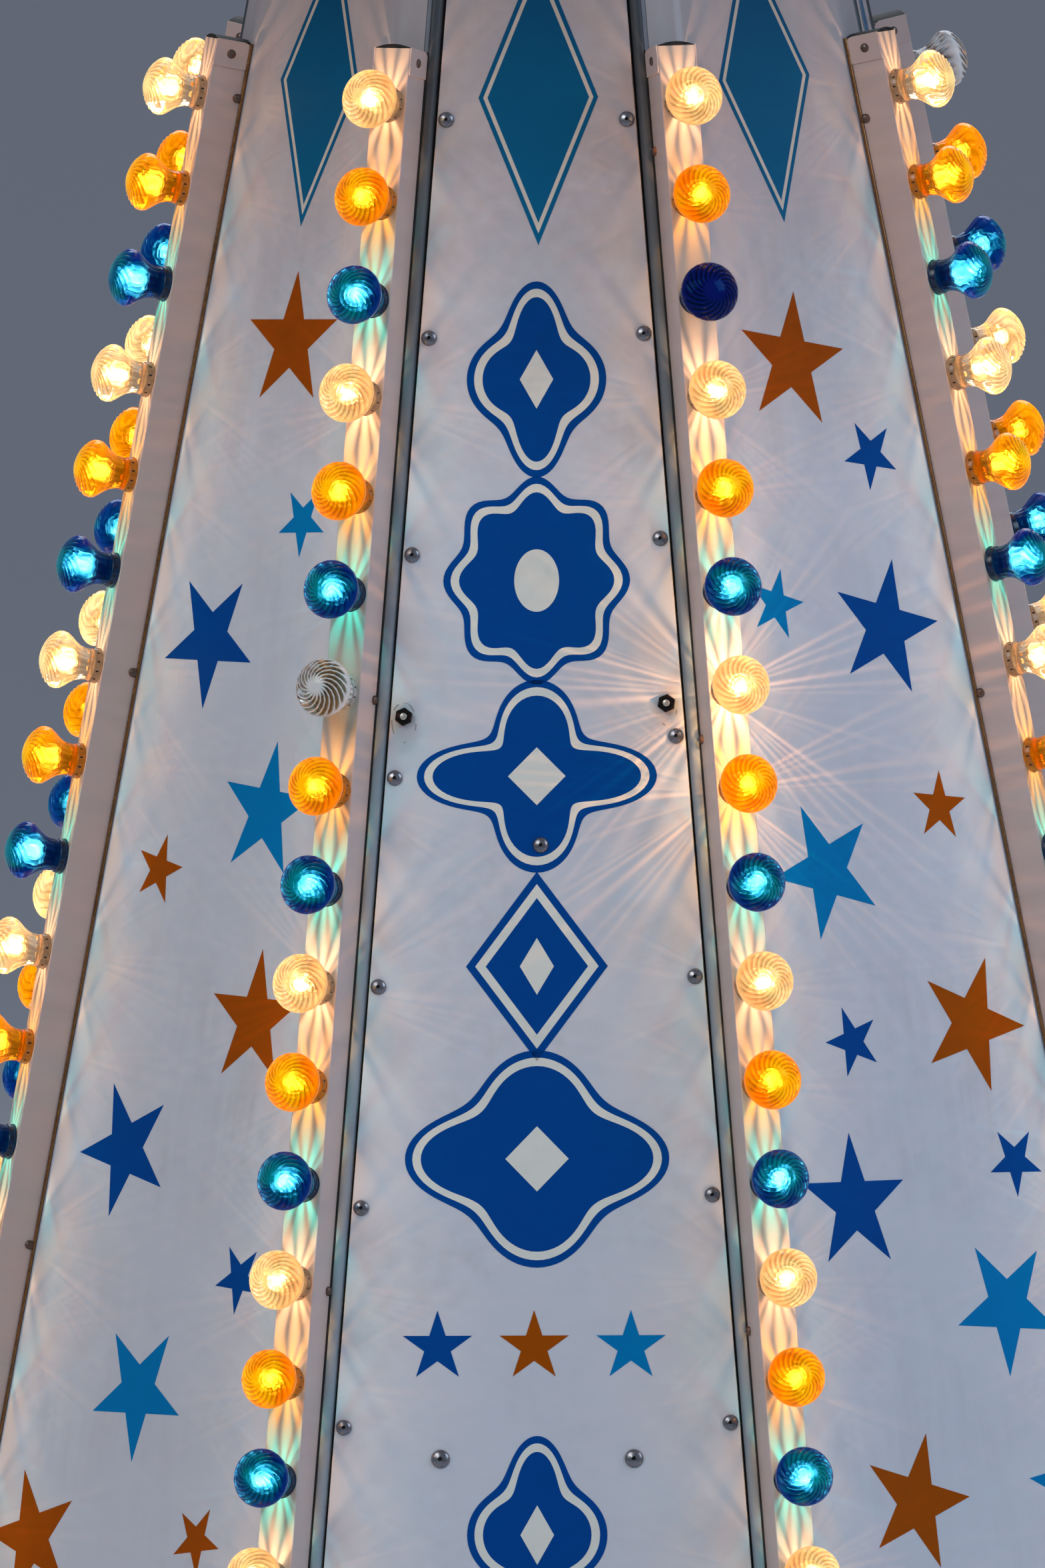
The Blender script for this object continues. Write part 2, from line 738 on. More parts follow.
def ornament_fasteners(name, angle):
    screws = Shape()
    for side, drops in ((-1, LEFT_SCREWS), (1, RIGHT_SCREWS)):
        lower = tuple(drops[-1] + (k + 1) * SCREW_PITCH for k in range(LOWER_SCREWS))
        for drop in drops + lower:
            dome_screw(screws, side * (half_side(-drop) - SCREW_ALONG), -drop, 0)
    dome_screw(screws, *MIDDLE_SCREW, 0)
    for u, v in LARGE_SCREWS:
        dome_screw(screws, u, v, 0, 0.0095, 0.0045)
    screws.make(f"screws_{name}", [SCREW_STEEL, BLACK], panel_place(angle), 35)
    nuts = Shape()
    for u, v in NUT_PLACES:
        hex_bolt(nuts, (u, v, 0))
    nuts.make(f"nuts_{name}", [RUSTY, RUST], panel_place(angle), 35)


def star_section():
    """The bent sheet's front from its flat part out, in a level corner frame.

    A point is the distance out along the corner's direction, and sideways from
    the corner towards the panel's middle.
    """
    bend_at = CHAMFER_INSET / tan(HALF_CORNER)
    tangent = BEND_RADIUS * tan(HALF_CORNER / 2)
    centre = Vector((-CHAMFER_INSET - BEND_RADIUS, bend_at - tangent))
    points = []
    for k in range(BEND_STEPS + 1):
        turn = HALF_CORNER * (1 - k / BEND_STEPS)
        points.append(tuple(centre + BEND_RADIUS * Vector((cos(turn), sin(turn)))))
    points.append((-CHAMFER_INSET, -CHAMFER_EDGE))
    return points


def star_loop(level, depth):
    """The sheet's section at a level, as points of the panel's own x and y."""
    radius = CORNER_RADIUS + (TOP_LAMP_LEVEL - level) * LEAN
    right = []
    for out, sideways in star_section():
        r = radius + out - depth
        x = r * SIN_HALF - sideways * COS_HALF
        y = -r * COS_HALF - sideways * SIN_HALF
        right.append((x, y, level))
    left = [(-x, y, z) for x, y, z in reversed(right)]
    return left + right


def star_panel(name, angle):
    levels = (CLADDING_FOOT, CLADDING_TOP)
    sheet = Shape([star_loop(z, 0) + star_loop(z, STAR_SHEET)[::-1] for z in levels])
    turn = Matrix.Rotation(angle, 4, "Z")
    sheet.make(f"star_sheet_{name}", [PANEL], turn, 30, nodes=[f"star_panel_{name}"])


# Painted motifs, as thin films on the panels

FILM = 0.00025
FILM_LIFT = 0.00002
STAR_WAIST = 0.382
# Widths of the diamonds' blue and white lines
DIAMOND_LINES = (0.0045, 0.0040)
BIG = 0.072
SMALL = 0.037


def star_points(u, v, radius, degrees):
    points = []
    for k in range(10):
        angle = radians(90 - degrees) + pi * k / 5
        r = radius if k % 2 == 0 else radius * STAR_WAIST
        points.append(circle_point(r, angle, u, v))
    return points


def lozenge(u, v, half_width, half_height):
    return [(u, v - half_height), (u + half_width, v), (u, v + half_height), (u - half_width, v)]


def petals(u, v, half_width, half_height, lobes, depth, count=128):
    """A flower outline with its lobes on the axes."""
    points = []
    for k in range(count):
        angle = 2 * pi * k / count
        r = 1 - depth + depth * cos(lobes * angle)
        points.append((u + half_width * r * cos(angle), v + half_height * r * sin(angle)))
    return points


def lozenge_border(u, v, half_width, half_height):
    """Gives a lozenge moved inward by a distance."""
    return lambda distance: inset(lozenge(u, v, half_width, half_height), distance)


def petal_border(u, v, half_width, half_height, lobes, depth):
    """Gives a flower outline moved inward by a distance, its lobes as high as before."""

    def outline(distance):
        scale = min(half_width, half_height)
        inner_depth = depth * scale / (scale - distance)
        return petals(u, v, half_width - distance, half_height - distance, lobes, inner_depth)

    return outline


class Films:
    """Collects the films on one panel, colour by colour."""

    def __init__(self):
        self.shapes = {}

    def shape(self, material):
        return self.shapes.setdefault(material.name, (material, Shape()))[1]

    def fill(self, material, points, layer=0):
        low = FILM_LIFT + layer * FILM
        self.shape(material).loops([raised(points, low), raised(points, low + FILM)])

    def between(self, material, outer, inner):
        self.shape(material).ring(outer, inner, FILM_LIFT, FILM_LIFT + FILM)

    def bordered(self, line, fill, shape, width, gap):
        """An outline, a white line inside it, and the filled middle.

        The shape is a function that gives the outline moved inward by a distance.
        """
        self.between(line, shape(0), shape(width))
        self.between(MOTIF_WHITE, shape(width), shape(width + gap))
        self.fill(fill, shape(width + gap))

    def make(self, name, place):
        for material_name, (material, shape) in self.shapes.items():
            shape.make(f"{material_name}_{name}", [material], place)


# Height of each ornament's middle below the top lamps, and its half sizes
ORNAMENT_ROWS = (
    (-0.284, 0.071, 0.100, "quatrefoil"),
    (-0.489, 0.095, 0.106, "rosette"),
    (-0.688, 0.122, 0.098, "cross"),
    (-0.881, 0.072, 0.096, "lozenge"),
    (-1.076, 0.134, 0.110, "quatrefoil"),
)
# How many petals each has, and how deep they are cut
PETALS = {"quatrefoil": (4, 0.13), "rosette": (8, 0.07), "cross": (4, 0.21)}
SECOND_GROUP = -1.172
LINE_WIDTH = 0.0075
LINE_GAP = 0.0085
STAR_ROWS = (-1.266, -2.44)
STAR_ROW_PITCH = 0.098
STAR_ROW_MIDDLE = -0.003


def ornament(films, kind, v, half_width, half_height):
    if kind in PETALS:
        border = petal_border(0, v, half_width, half_height, *PETALS[kind])
    else:
        border = lozenge_border(0, v, half_width, half_height)
    films.bordered(DARK_BLUE, DARK_BLUE, border, LINE_WIDTH, LINE_GAP)
    eye = half_width * 0.24, half_height * 0.30
    if kind == "rosette":
        films.fill(MOTIF_WHITE, petals(0, v, eye[0], eye[1], 4, 0.0, 48), 1)
    else:
        films.fill(MOTIF_WHITE, lozenge(0, v, *eye), 1)


def ornament_motifs(name, angle):
    films = Films()
    films.bordered(TEAL_BLUE, TEAL_BLUE, lozenge_border(0.002, 0.004, 0.061, 0.151), *DIAMOND_LINES)
    for drop in (0, SECOND_GROUP):
        for v, half_width, half_height, kind in ORNAMENT_ROWS:
            ornament(films, kind, v + drop, half_width, half_height)
    for v in STAR_ROWS:
        for step, material in ((-1, DARK_BLUE), (0, ORANGE), (1, LIGHT_BLUE)):
            films.fill(material, star_points(step * STAR_ROW_PITCH + STAR_ROW_MIDDLE, v, SMALL, 0))
    films.make(name, panel_place(angle))


# Scattered stars: u, drop below the top lamps, radius, colour, turn
RIGHT_STARS = (
    (-0.022, 0.275, BIG, ORANGE, 12),
    (0.067, 0.378, SMALL, DARK_BLUE, -169),
    (0.055, 0.556, BIG, DARK_BLUE, 17),
    (-0.089, 0.521, SMALL, LIGHT_BLUE, 19),
    (-0.071, 0.796, BIG, LIGHT_BLUE, -163),
    (0.094, 0.744, SMALL, ORANGE, 9),
    (0.097, 0.969, BIG, ORANGE, 25),
    (-0.068, 0.972, SMALL, DARK_BLUE, -14),
    (-0.096, 1.135, BIG, DARK_BLUE, 4),
    (0.130, 1.114, SMALL, DARK_BLUE, -175),
    (0.092, 1.260, BIG, LIGHT_BLUE, -172),
    (-0.068, 1.444, BIG, ORANGE, 20),
    (0.125, 1.445, SMALL, LIGHT_BLUE, -150),
)
LEFT_STARS = (
    (0.012, 0.251, BIG, ORANGE, -3),
    (0.065, 0.434, SMALL, LIGHT_BLUE, -40),
    (-0.056, 0.563, BIG, DARK_BLUE, 178),
    (0.068, 0.732, BIG, LIGHT_BLUE, 3),
    (-0.089, 0.804, SMALL, ORANGE, 10),
    (0.092, 0.944, BIG, ORANGE, -1),
    (-0.085, 1.093, BIG, DARK_BLUE, -26),
    (0.120, 1.207, SMALL, DARK_BLUE, -35),
    (-0.016, 1.337, BIG, LIGHT_BLUE, 176),
    (-0.154, 1.503, BIG, ORANGE, -20),
    (0.106, 1.477, SMALL, ORANGE, 25),
)
LOWER_STARS = (
    (0.150, 1.640, BIG, DARK_BLUE, 12),
    (-0.030, 1.600, SMALL, DARK_BLUE, -172),
    (-0.130, 1.740, BIG, LIGHT_BLUE, 174),
    (0.050, 1.800, BIG, ORANGE, -15),
    (0.210, 1.850, SMALL, LIGHT_BLUE, 22),
    (-0.220, 1.900, SMALL, ORANGE, 0),
    (-0.070, 1.980, BIG, DARK_BLUE, -28),
    (0.160, 2.030, BIG, LIGHT_BLUE, -166),
    (-0.220, 2.110, BIG, ORANGE, 18),
    (0.020, 2.180, SMALL, LIGHT_BLUE, -30),
    (0.230, 2.250, BIG, DARK_BLUE, -6),
    (-0.100, 2.290, BIG, LIGHT_BLUE, 14),
    (0.080, 2.380, BIG, ORANGE, 33),
    (-0.270, 2.400, SMALL, DARK_BLUE, 170),
    (0.270, 2.480, SMALL, ORANGE, -12),
    (-0.170, 2.520, BIG, DARK_BLUE, -20),
    (0.020, 2.590, SMALL, DARK_BLUE, 160),
    (0.190, 2.640, BIG, LIGHT_BLUE, 24),
    (-0.060, 2.720, BIG, ORANGE, -10),
    (-0.270, 2.690, SMALL, LIGHT_BLUE, 28),
)


def star_motifs(name, angle, stars, diamond_shift):
    films = Films()
    films.bordered(TEAL_BLUE, TEAL_BLUE, lozenge_border(diamond_shift, 0.016, 0.062, 0.149), *DIAMOND_LINES)
    for u, drop, radius, material, turn in stars + LOWER_STARS:
        films.fill(material, star_points(u, -drop, radius, turn))
    films.make(name, panel_place(angle))


STAR_SETS = ((RIGHT_STARS, -0.006), (LEFT_STARS, 0.003))
for index, (face, star) in enumerate(zip(FACE_NAMES, STAR_NAMES)):
    face_angle = index * pi / 2
    star_angle = face_angle + pi / 4
    ornament_panel(face, face_angle)
    ornament_fasteners(face, face_angle)
    ornament_motifs(face, face_angle)
    star_panel(star, star_angle)
    star_motifs(star, star_angle, *STAR_SETS[index % 2])

# Light bars: housing, end brackets, plugs, trims and flank screws

BAR_CORNER_RADIUS = 0.0014
CHEEK = 0.0014
CHEEK_CORNER = 0.008
PLUG_RISE = 0.0035
BEAD_RADIUS = {"seam_bronze": 0.0017, "black_rubber": 0.0009}

shadowless = bpy.data.collections.new("lamp_light_passes")


def let_lamplight_pass(piece):
    """Lets the lamps' own light through the caps and past the bars."""
    shadowless.objects.link(piece)
    shadowless.collection_objects[-1].light_linking.link_state = "EXCLUDE"


def bar_housing(corner, place):
    half = BAR_WIDTH / 2
    section = rounded_rect(-half, half, -BAR_DEPTH, 0, BAR_CORNER_RADIUS)
    shape = Shape(along_bar(section, BAR_FOOT + 0.001, BAR_TOP - 0.001))
    shape.kinds = [int(all(shape.verts[i][2] > -0.0001 for i in points)) for points in shape.faces]
    nodes = [f"light_bar_{corner}"]
    let_lamplight_pass(shape.make(f"bar_housing_{corner}", [BAR_PAINT, BAR_FACE], place, 40, nodes))


def cheek_outline(v_end, v_inner):
    """A bracket's cheek as (n, v) points, its back corner at the bar's end rounded."""
    sign = 1 if v_end > v_inner else -1
    back = -BAR_DEPTH
    points = [(-0.0008, v_inner), (-0.0008, v_end)]
    for k in range(5):
        angle = pi / 2 * k / 4
        n = back + CHEEK_CORNER * (1 - sin(angle))
        v = v_end - sign * CHEEK_CORNER * (1 - cos(angle))
        points.append((n, v))
    points.append((back, v_inner))
    return points


def end_bracket(corner, place, end, v_end, v_inner):
    """Two cheeks screwed over the bar's flanks."""
    shape = Shape()
    outline = cheek_outline(v_end, v_inner)
    for side in (-1, 1):
        near, far = side * BAR_WIDTH / 2, side * (BAR_WIDTH / 2 + CHEEK)
        loops = [[(u, v, n) for n, v in outline] for u in (near, far)]
        if (side > 0) == (v_end > v_inner):
            loops.reverse()
        shape.loops(loops)
    nodes = [f"bar_cap_{end}_{corner}"]
    let_lamplight_pass(shape.make(f"bar_bracket_{end}_{corner}", [BAR_PAINT], place, nodes=nodes))


def end_plug(corner, place, end, v_end, sign):
    """A black plug that domes out of the bar's open end."""
    half = BAR_WIDTH / 2 - 0.001
    arc = []
    for k in range(9):
        x = half * (1 - k / 4)
        arc.append((x, v_end + sign * PLUG_RISE * (1 - (x / half) ** 2)))
    outline = arc + [(-half, v_end - sign * 0.004), (half, v_end - sign * 0.004)]
    loops = [[(u, v, n) for u, v in outline] for n in (-BAR_DEPTH + 0.001, -0.0005)]
    if sign < 0:
        loops.reverse()
    Shape(loops).make(f"bar_plug_{end}_{corner}", [BLACK], place)


def flank_screw(shape, side, v, n, radius=0.0045):
    """A round head on a bar's flank, its axis across the bar."""
    head = Shape()
    profile = [(radius, -0.001), (radius, 0.0012), (radius * 0.75, 0.0026), (radius * 0.3, 0.0032)]
    head.lathe((0, 0, 0), profile, 14)
    first = len(shape.verts)
    shape.verts += [(side * (BAR_WIDTH / 2 + z), v + y, n - side * x) for x, y, z in head.verts]
    for points in head.faces:
        shape.face([first + i for i in points])


def bar_trim(corner, place):
    """Beads where the bar meets the panels: bronze on the star side, black on the other."""
    star_side = 1 if corner % 2 else -1
    for side, material in ((star_side, BRONZE), (-star_side, BLACK)):
        radius = BEAD_RADIUS[material.name]
        centre = side * (BAR_WIDTH / 2 + radius * 0.8)
        section = [(centre + x, y - BAR_DEPTH + 0.0004) for x, y in circle(radius, 10)]
        beads = Shape(along_bar(section, BAR_FOOT, BAR_TOP))
        beads.make(f"{material.name}_bead_{corner}", [material], place, 50)


def bar_screws(corner, place):
    dull = Shape()
    first = FIRST_FLANK_SCREW.get(corner, FIRST_FLANK_SCREW[2])
    count = int((first - BAR_FOOT - 0.03) / FLANK_SCREW_PITCH) + 1
    for side in (-1, 1):
        for v in (BAR_TOP - 0.014, BAR_FOOT + 0.014):
            flank_screw(dull, side, v, -0.018, 0.0050)
        for k in range(count):
            flank_screw(dull, side, first - k * FLANK_SCREW_PITCH, -0.033, 0.0048)
    dull.make(f"bar_screws_{corner}", [DULL_SCREW], place, 40)


# Lamp outline: height over the bar's face, radius, how deep its ribs are
LAMP_PROFILE = (
    (0.0040, 0.0168, 0.0),
    (0.0100, 0.0164, 0.3),
    (0.0170, 0.0168, 0.5),
    (0.0225, 0.0184, 0.7),
    (0.0280, 0.0218, 0.9),
    (0.0335, 0.0262, 0.7),
    (0.0380, 0.0292, 0.2),
    (0.0420, 0.0300, 0.0),
    (0.0455, 0.0296, 0.1),
    (0.0485, 0.0280, 0.8),
    (0.0515, 0.0256, 1.0),
    (0.0545, 0.0222, 1.0),
    (0.0570, 0.0182, 1.0),
    (0.0590, 0.0140, 0.9),
    (0.0605, 0.0100, 0.3),
    (0.0615, 0.0050, 0.0),
)
RIBS = 18
SEGMENTS_PER_RIB = 4
RIB_DEPTH = 0.0015
SWIRL_FROM = 0.044
SWIRL = radians(78)
COLLAR_PROFILE = (
    (0.0184, 0.0000),
    (0.0186, 0.0012),
    (0.0178, 0.0018),
    (0.0176, 0.0072),
    (0.0172, 0.0080),
    (0.0164, 0.0082),
)
VENTS = 11
# A vent's corners: radius, and turn from its middle
VENT_CORNERS = ((0.0160, -0.045), (0.0178, -0.045), (0.0178, 0.045), (0.0160, 0.045))
CORE_HEIGHT = 0.037
GLOW_RADII = (0.0140, 0.0100, 0.0068, 0.0040)
DEAD_BULB_RADIUS = 0.0060


def lamp_rings():
    """Rings of points of one cap, each with its rib phase and height share."""
    rings = []
    count = RIBS * SEGMENTS_PER_RIB
    for height, radius, ribbed in LAMP_PROFILE:
        inward = max(0.0, (height - SWIRL_FROM) / (LAMP_HEIGHT - SWIRL_FROM))
        twist = SWIRL * inward ** 1.6
        ring = []
        for k in range(count):
            angle = 2 * pi * k / count
            rib = 0.5 + 0.5 * cos(RIBS * angle)
            r = radius - RIB_DEPTH * ribbed * (1 - rib) * min(1.0, radius / 0.02)
            shade = 1 - ribbed * (1 - rib)
            point = (*circle_point(r, angle + twist), height)
            ring.append((point, (shade, height / LAMP_HEIGHT, 0.0)))
        rings.append(ring)
    return rings


LAMP_RINGS = lamp_rings()


def add_cap(shape, v):
    shape.loops([[(x, y + v, n) for (x, y, n), _ in ring] for ring in LAMP_RINGS])
    shape.values += [value for ring in LAMP_RINGS for _, value in ring]


def add_ball(shape, v, radius, level):
    """A ball of light or glass inside a lamp, with its glow level."""
    first = len(shape.verts)
    profile = []
    for i in range(1, 8):
        polar = pi * i / 8
        profile.append((radius * sin(polar), CORE_HEIGHT - radius * cos(polar)))
    shape.lathe((0, v, 0), profile, 14)
    shape.values += [(level, 0.0, 0.0)] * (len(shape.verts) - first)


def add_core(shape, v):
    for level, radius in enumerate(GLOW_RADII):
        add_ball(shape, v, radius, level / (len(GLOW_RADII) - 1))


def add_dead_core(shape, v):
    add_ball(shape, v, DEAD_BULB_RADIUS, 0.0)


def add_collar(shape, v):
    """The ring at a lamp's foot, with dark vents round it."""
    shape.lathe((0, v, 0), COLLAR_PROFILE, 32, [0] * 7)
    for k in range(VENTS):
        angle = 2 * pi * (k + 0.5) / VENTS
        points = [circle_point(radius, angle + turn, 0, v) for radius, turn in VENT_CORNERS]
        shape.loops([raised(points, 0.0032), raised(points, 0.0060)], [1] * 3)


LAMP_PARTS = {"caps": add_cap, "cores": add_core, "collars": add_collar}
UNLIT = {(1, 2), (8, 6), (3, 0)}
lamp_meshes = {}


def lamp_materials(part, kind, lit):
    if part == "caps":
        return [(LIT_GLASS if lit else DARK_GLASS)[kind]]
    if part == "cores":
        return [GLOW[kind] if lit else DARK_CORE]
    return [(COLLAR if lit else DARK_COLLAR)[kind], BLACK]


def lamp_pieces(corner, place, kind, lit, lamps):
    for part, add in LAMP_PARTS.items():
        if part == "cores" and not lit:
            add = add_dead_core
        key = (part, kind, lit, tuple(lamps))
        name = f"lamp_{part}_{kind}_{'lit' if lit else 'dark'}_{corner}"
        slot = "lamp_collar" if part == "collars" else f"lamp_{kind}"
        if key in lamp_meshes:
            piece = make_piece(name, lamp_meshes[key], place)
        else:
            shape = Shape()
            for i in lamps:
                add(shape, -i * LAMP_PITCH)
            piece = shape.make(name, lamp_materials(part, kind, lit), place, 50, slot=slot)
            lamp_meshes[key] = piece.data
        let_lamplight_pass(piece)


BAR_LIGHT = {"clear": (1.0, 0.58, 0.30), "amber": (1.0, 0.42, 0.02), "blue": (0.0, 0.84, 0.74)}
PANEL_LIGHT = {"clear": (1.0, 0.44, 0.18), "amber": (1.0, 0.38, 0.08), "blue": (0.10, 0.60, 0.70)}
LIGHT_POWER = {"clear": 0.32, "amber": 0.28, "blue": 0.22}
BRIGHT_LAMPS = {(1, 6): 2.6, (1, 7): 2.2, (1, 3): 1.45, (1, 4): 1.5, (8, 3): 1.3, (8, 9): 1.3}
LIGHT_PATTERNS = 3
BRIGHT_GAIN = 1.5
STAR_SIDE_SHARE = 0.92
SPIKES = 72
# Rays of the brightest lamps and of the others: how thin and high the spikes are, the
# glow under them, how far they go past the bar, and their share on the ornaments' side
BRIGHT_RAYS = (5.0, 2.2, 0.22, 0.8, 0.90)
SOFT_RAYS = (2.0, 0.77, 0.34, 0.05, 0.66)


def ripple(around, waves, shift, height):
    phase = times_plus(around, waves, 2.1 * shift)
    return times(calc("SINE", phase), height)


def crests(phase, sharpness):
    """Waves from 0 to 1 that are thinner the sharper they are."""
    return calc("POWER", ramp(calc("COSINE", phase), -1.0, 1.0), sharpness)


def bar_petals(around, pattern):
    """Broad petals with thin dark lines between them."""
    wander = ripple(around, 3.0, pattern, 1.3)
    phase = times_plus(around, float(RIBS), wander)
    return times_plus(crests(phase, 2.5), -0.92, 1.0)


def panel_spikes(around, pattern, thinness, height, glow):
    """Many thin spikes of uneven height, over a faint glow."""
    slow = ripple(around, 7.0, pattern, 0.5)
    uneven = plus(slow, ripple(around, 19.0, 2 * pattern, 0.4))
    phase = times_plus(around, float(SPIKES), times(uneven, 5.0))
    spike = times(crests(phase, thinness), ramp(uneven, -0.6, 0.6, 0.2, height))
    return plus(spike, glow)


def part_rays(tree, kind, pattern, rays):
    """Parts a lamp's light as its cap's ribs do.

    Along the bar its rays are petals. Towards the panels, brightest on the star
    panel's side at +X, they are spikes, spread otherwise in each pattern.
    """
    thinness, height, glow, reach, ornament_share = rays
    x, y, z = split(add_node(tree, "ShaderNodeTexCoord").outputs["Normal"])
    around = calc("ARCTAN2", y, x)
    lengthways = times(y, y)
    on_bar = ramp(over(lengthways, plus(times(x, x), lengthways)), 0.55, 0.8)
    past_bar = ramp(over(size_of(z), size_of(x)), 1.35, 2.2, 1.0, reach)
    off_bar = times(past_bar, minus(1.0, on_bar))
    spikes = panel_spikes(around, pattern, thinness, height, glow)
    spikes = times(spikes, ramp(x, -0.1, 0.1, ornament_share, STAR_SIDE_SHARE))
    flatness = over(size_of(z), size_of(y))
    petals_out = times(bar_petals(around, pattern), ramp(flatness, 0.15, 0.30))
    wire(tree.nodes["Emission"], {
        "Color": mix(on_bar, PANEL_LIGHT[kind], BAR_LIGHT[kind]),
        "Strength": times_plus(petals_out, on_bar, times(spikes, off_bar)),
    })


def lamp_light(kind, pattern, gain=1.0):
    light = bpy.data.lights.new(f"lamp_{kind}", "POINT")
    light.energy = LIGHT_POWER[kind] * gain
    light.shadow_soft_size = 0.002
    light.cycles.use_multiple_importance_sampling = False
    light.use_nodes = True
    part_rays(light.node_tree, kind, pattern, BRIGHT_RAYS if gain > BRIGHT_GAIN else SOFT_RAYS)
    return light


LIGHTS = {}
for kind in LAMP_KINDS:
    for pattern in range(LIGHT_PATTERNS):
        LIGHTS[kind, pattern] = lamp_light(kind, pattern)


def add_light(corner, i, kind, place):
    gain = BRIGHT_LAMPS.get((corner, i))
    data = lamp_light(kind, 0, gain) if gain else LIGHTS[kind, (corner + i // 3) % LIGHT_PATTERNS]
    turn = Matrix.Rotation(0 if corner % 2 else pi, 4, "Z")
    bulb_place = place @ Matrix.Translation((0, -i * LAMP_PITCH, CORE_HEIGHT)) @ turn
    light = show(f"light_{kind}", data, bulb_place)
    light.light_linking.blocker_collection = shadowless
    light.visible_glossy = False


def bar_lamps(corner, place):
    groups = {}
    for i in range(LAMPS_PER_BAR):
        kind = LAMP_KINDS[i % 3]
        lit = (corner, i) not in UNLIT
        groups.setdefault((kind, lit), []).append(i)
        if lit:
            add_light(corner, i, kind, place)
    for (kind, lit), lamps in groups.items():
        lamp_pieces(corner, place, kind, lit, lamps)


for corner in range(1, SIDES + 1):
    place = corner_place(corner)
    bar_housing(corner, place)
    end_bracket(corner, place, "top", BAR_TOP, BAR_TOP - BAR_CAP_HEIGHT)
    end_bracket(corner, place, "foot", BAR_FOOT, BAR_FOOT + BAR_CAP_HEIGHT)
    end_plug(corner, place, "top", BAR_TOP, 1)
    end_plug(corner, place, "foot", BAR_FOOT, -1)
    bar_trim(corner, place)
    bar_screws(corner, place)
    bar_lamps(corner, place)

# Base and head

FLANGE_BOLTS = 16
BOLT_CIRCLE = 0.208


def octagon(radius, z):
    angles = [(2 * k + 1) * HALF_CORNER for k in range(SIDES)]
    return [(radius * sin(angle), -radius * cos(angle), z) for angle in angles]


def moulded(name, material, foot, profile, nodes):
    """An octagonal body with a moulded edge: (corner radius, height above its foot)."""
    loops = [octagon(radius, foot + height) for radius, height in profile]
    Shape(loops).make(name, [material], nodes=nodes)


def turned(name, material, foot, profile, nodes):
    shape = Shape()
    shape.lathe((0, 0, foot), profile, 64)
    shape.make(name, [material], None, 35, nodes=nodes)


def add_plinth():
    plinth_foot, plinth_top = (corner[2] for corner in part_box("base_plinth"))
    height = plinth_top - plinth_foot
    profile = [(1.036, 0.0), (1.036, 0.006), (1.026, 0.012), (1.022, height - 0.016)]
    profile += [(1.030, height - 0.013), (1.032, height - 0.010), (1.032, height - 0.003), (1.028, height)]
    moulded("plinth_body", PLINTH_PAINT, plinth_foot, profile, ["base_plinth"])


def add_cornice():
    radius = CORNER_RADIUS + (TOP_LAMP_LEVEL - CLADDING_TOP) * LEAN + 0.016
    profile = [(radius - 0.010, 0.0), (radius - 0.003, 0.003), (radius, 0.010), (radius, 0.022)]
    profile += [(radius - 0.005, 0.025), (radius - 0.005, 0.034), (radius, 0.037), (radius, 0.052)]
    profile += [(radius - 0.003, 0.057), (radius - 0.010, 0.060)]
    moulded("cornice_body", PANEL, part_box("cornice_plate")[0][2], profile, ["cornice_plate"])


def add_bearing():
    drum = [(0.190, 0.0), (0.190, 0.010), (0.184, 0.014), (0.182, 0.096), (0.190, 0.102), (0.190, 0.110)]
    turned("drum_body", BEARING_STEEL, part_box("bearing_drum")[0][2], drum, ["bearing_drum"])
    flange_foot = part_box("bearing_flange")[0][2]
    flange = [(0.225, 0.0), (0.226, 0.001), (0.226, 0.015), (0.225, 0.016), (0.194, 0.016)]
    flange += [(0.191, 0.018), (0.190, 0.024), (0.150, 0.024), (0.148, 0.021)]
    turned("flange_body", BEARING_STEEL, flange_foot, flange, ["bearing_flange"])
    head = [(0.010, -0.001), (0.010, 0.0055), (0.0088, 0.0068)]
    nut = [(0.009, 0), (0.010, 0.001), (0.010, 0.008)]
    bolts = Shape()
    for k, (x, y) in enumerate(circle(BOLT_CIRCLE, FLANGE_BOLTS, 0.2)):
        bolts.lathe((x, y, flange_foot + 0.016), head, 6, None, k)
        bolts.lathe((x, y, flange_foot - 0.007), nut, 6, None, k)
    bolts.make("flange_bolts", [DULL_SCREW])


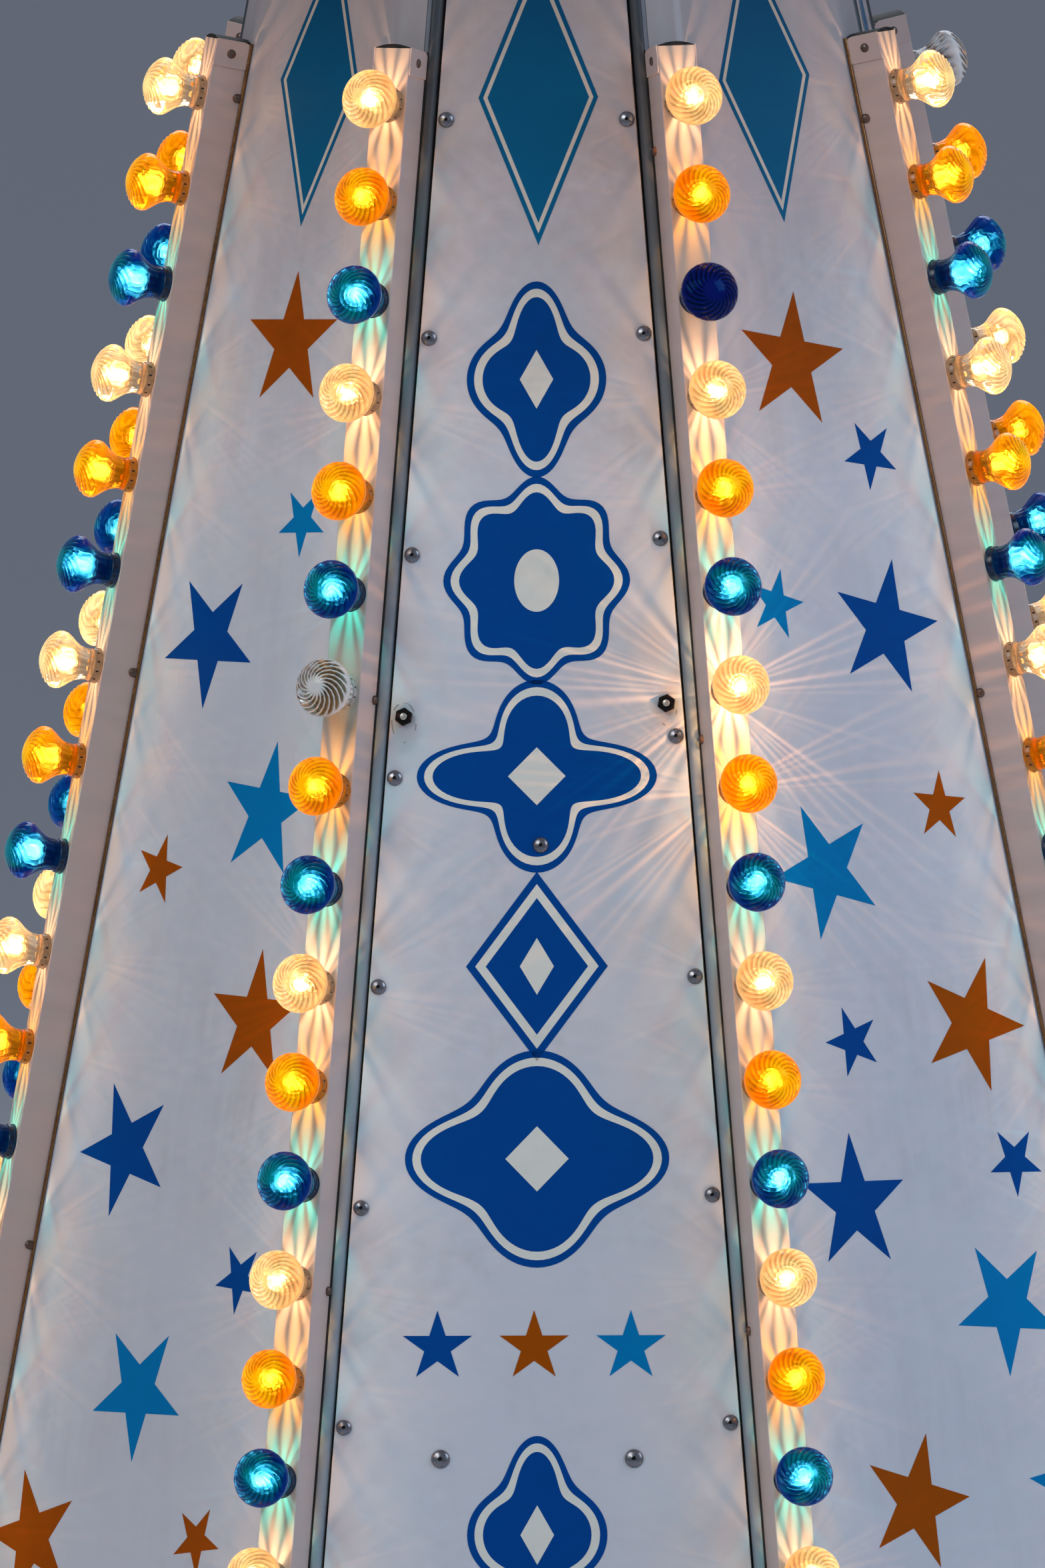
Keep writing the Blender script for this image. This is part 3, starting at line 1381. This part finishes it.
add_plinth()
add_cornice()
add_bearing()

# CAD nodes that keep their shape: the corner posts


def dress_posts():
    for piece in bpy.data.objects:
        if piece.type == "MESH" and piece.name.startswith("corner_post_"):
            piece.data.materials.clear()
            piece.data.materials.append(ALUMINIUM)


dress_posts()

# Floor and studio light

FLOOR_HALF = 120
AIM_HEIGHT = 1.6


def add_floor():
    material, _, shader = new_material("studio_floor")
    wire(shader, {"Base Color": rgba((0.70, 0.72, 0.76)), "Roughness": 0.8})
    corners = [(x * FLOOR_HALF, y * FLOOR_HALF, 0) for x, y in ((-1, -1), (1, -1), (1, 1), (-1, 1))]
    mesh = bpy.data.meshes.new("studio_floor")
    mesh.from_pydata(corners, [], [(0, 1, 2, 3)])
    mesh.materials.append(material)
    show("studio_floor", mesh)


def add_studio_light(name, place, size, power, color):
    data = bpy.data.lights.new(name, "AREA")
    data.shape = "SQUARE"
    data.size = size
    data.energy = power
    data.color = color
    toward = Vector((0, 0, AIM_HEIGHT)) - Vector(place)
    turn = toward.to_track_quat("-Z", "Y").to_matrix().to_4x4()
    show(name, data, Matrix.Translation(place) @ turn)


def add_world():
    world = bpy.data.worlds.new("studio")
    world.use_nodes = True
    background = world.node_tree.nodes["Background"]
    background.inputs[0].default_value = (0.60, 0.67, 0.82, 1.0)
    background.inputs[1].default_value = 0.27
    bpy.context.scene.world = world


add_floor()
add_world()
add_studio_light("key", (-6, -8, 9.0), 5, 375, (0.98, 1.0, 0.97))
add_studio_light("fill", (9, -4.5, 7.5), 6, 360, (0.74, 0.94, 1.13))
add_studio_light("rim", (0, 8, 9), 6, 300, (0.88, 0.94, 1.0))

scene = bpy.context.scene
scene.view_settings.view_transform = "Standard"
cycles = scene.cycles
cycles.sample_clamp_indirect = 4.0
cycles.max_bounces = 8
cycles.diffuse_bounces = 2
cycles.glossy_bounces = 2
cycles.transmission_bounces = 6
cycles.transparent_max_bounces = 12
cycles.adaptive_threshold = 0.05
cycles.caustics_refractive = False
cycles.caustics_reflective = False
